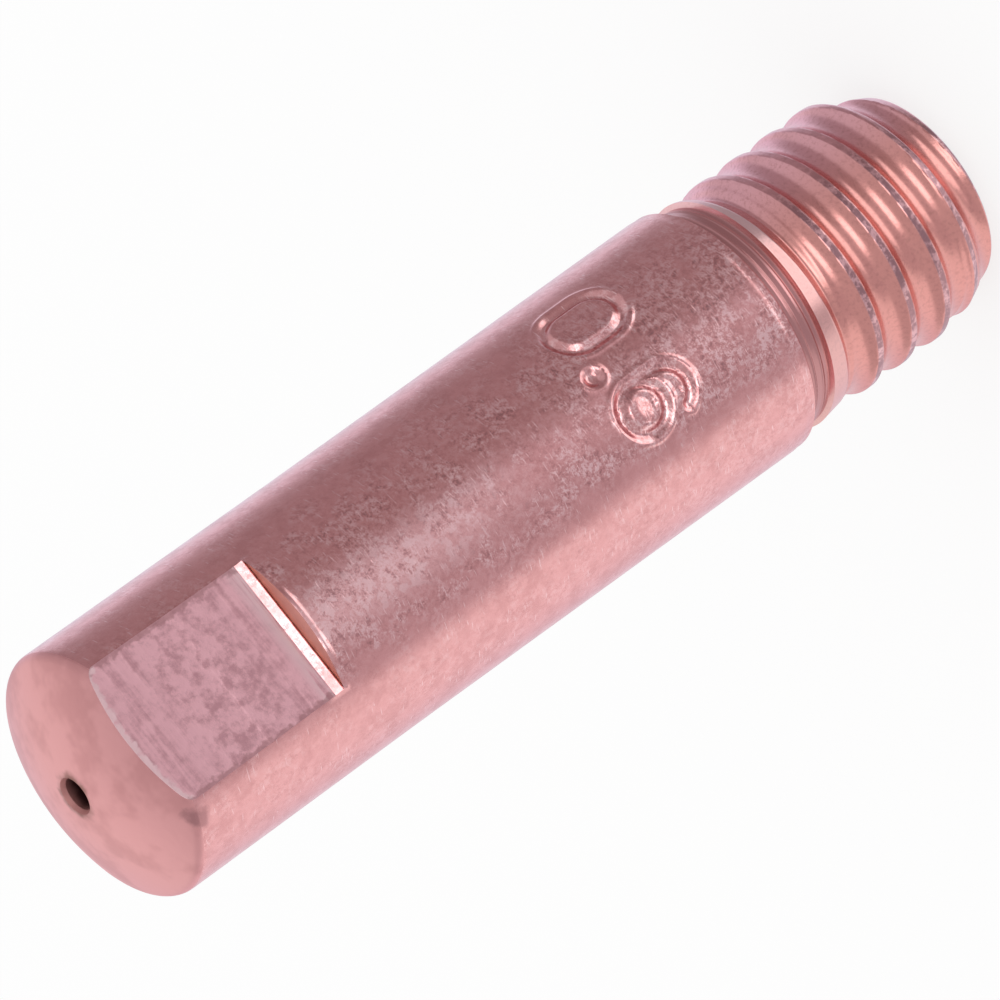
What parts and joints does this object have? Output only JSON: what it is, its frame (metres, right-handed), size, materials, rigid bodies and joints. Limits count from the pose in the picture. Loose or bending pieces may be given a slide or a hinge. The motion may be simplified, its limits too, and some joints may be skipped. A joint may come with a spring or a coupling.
{
  "type": "welding contact tip",
  "caption": "Turned copper contact tip for a wire-feed welding torch: domed nose with a wire bore, wrench flats, plain cylindrical body, relief and right-hand threaded end.",
  "frame": {"origin": "centre of the thread end, which the tip stands on", "axes": "+Z along the wire bore towards the domed nose, -Y out of the wrench flat beside the size mark"},
  "size_m": [0.006, 0.006, 0.025],
  "materials": {
    "copper": "bare turned copper, satin, with fine nicks and worn thread crests"
  },
  "bodies": {
    "root": {"contact_tip": "copper"}
  },
  "joints": []
}
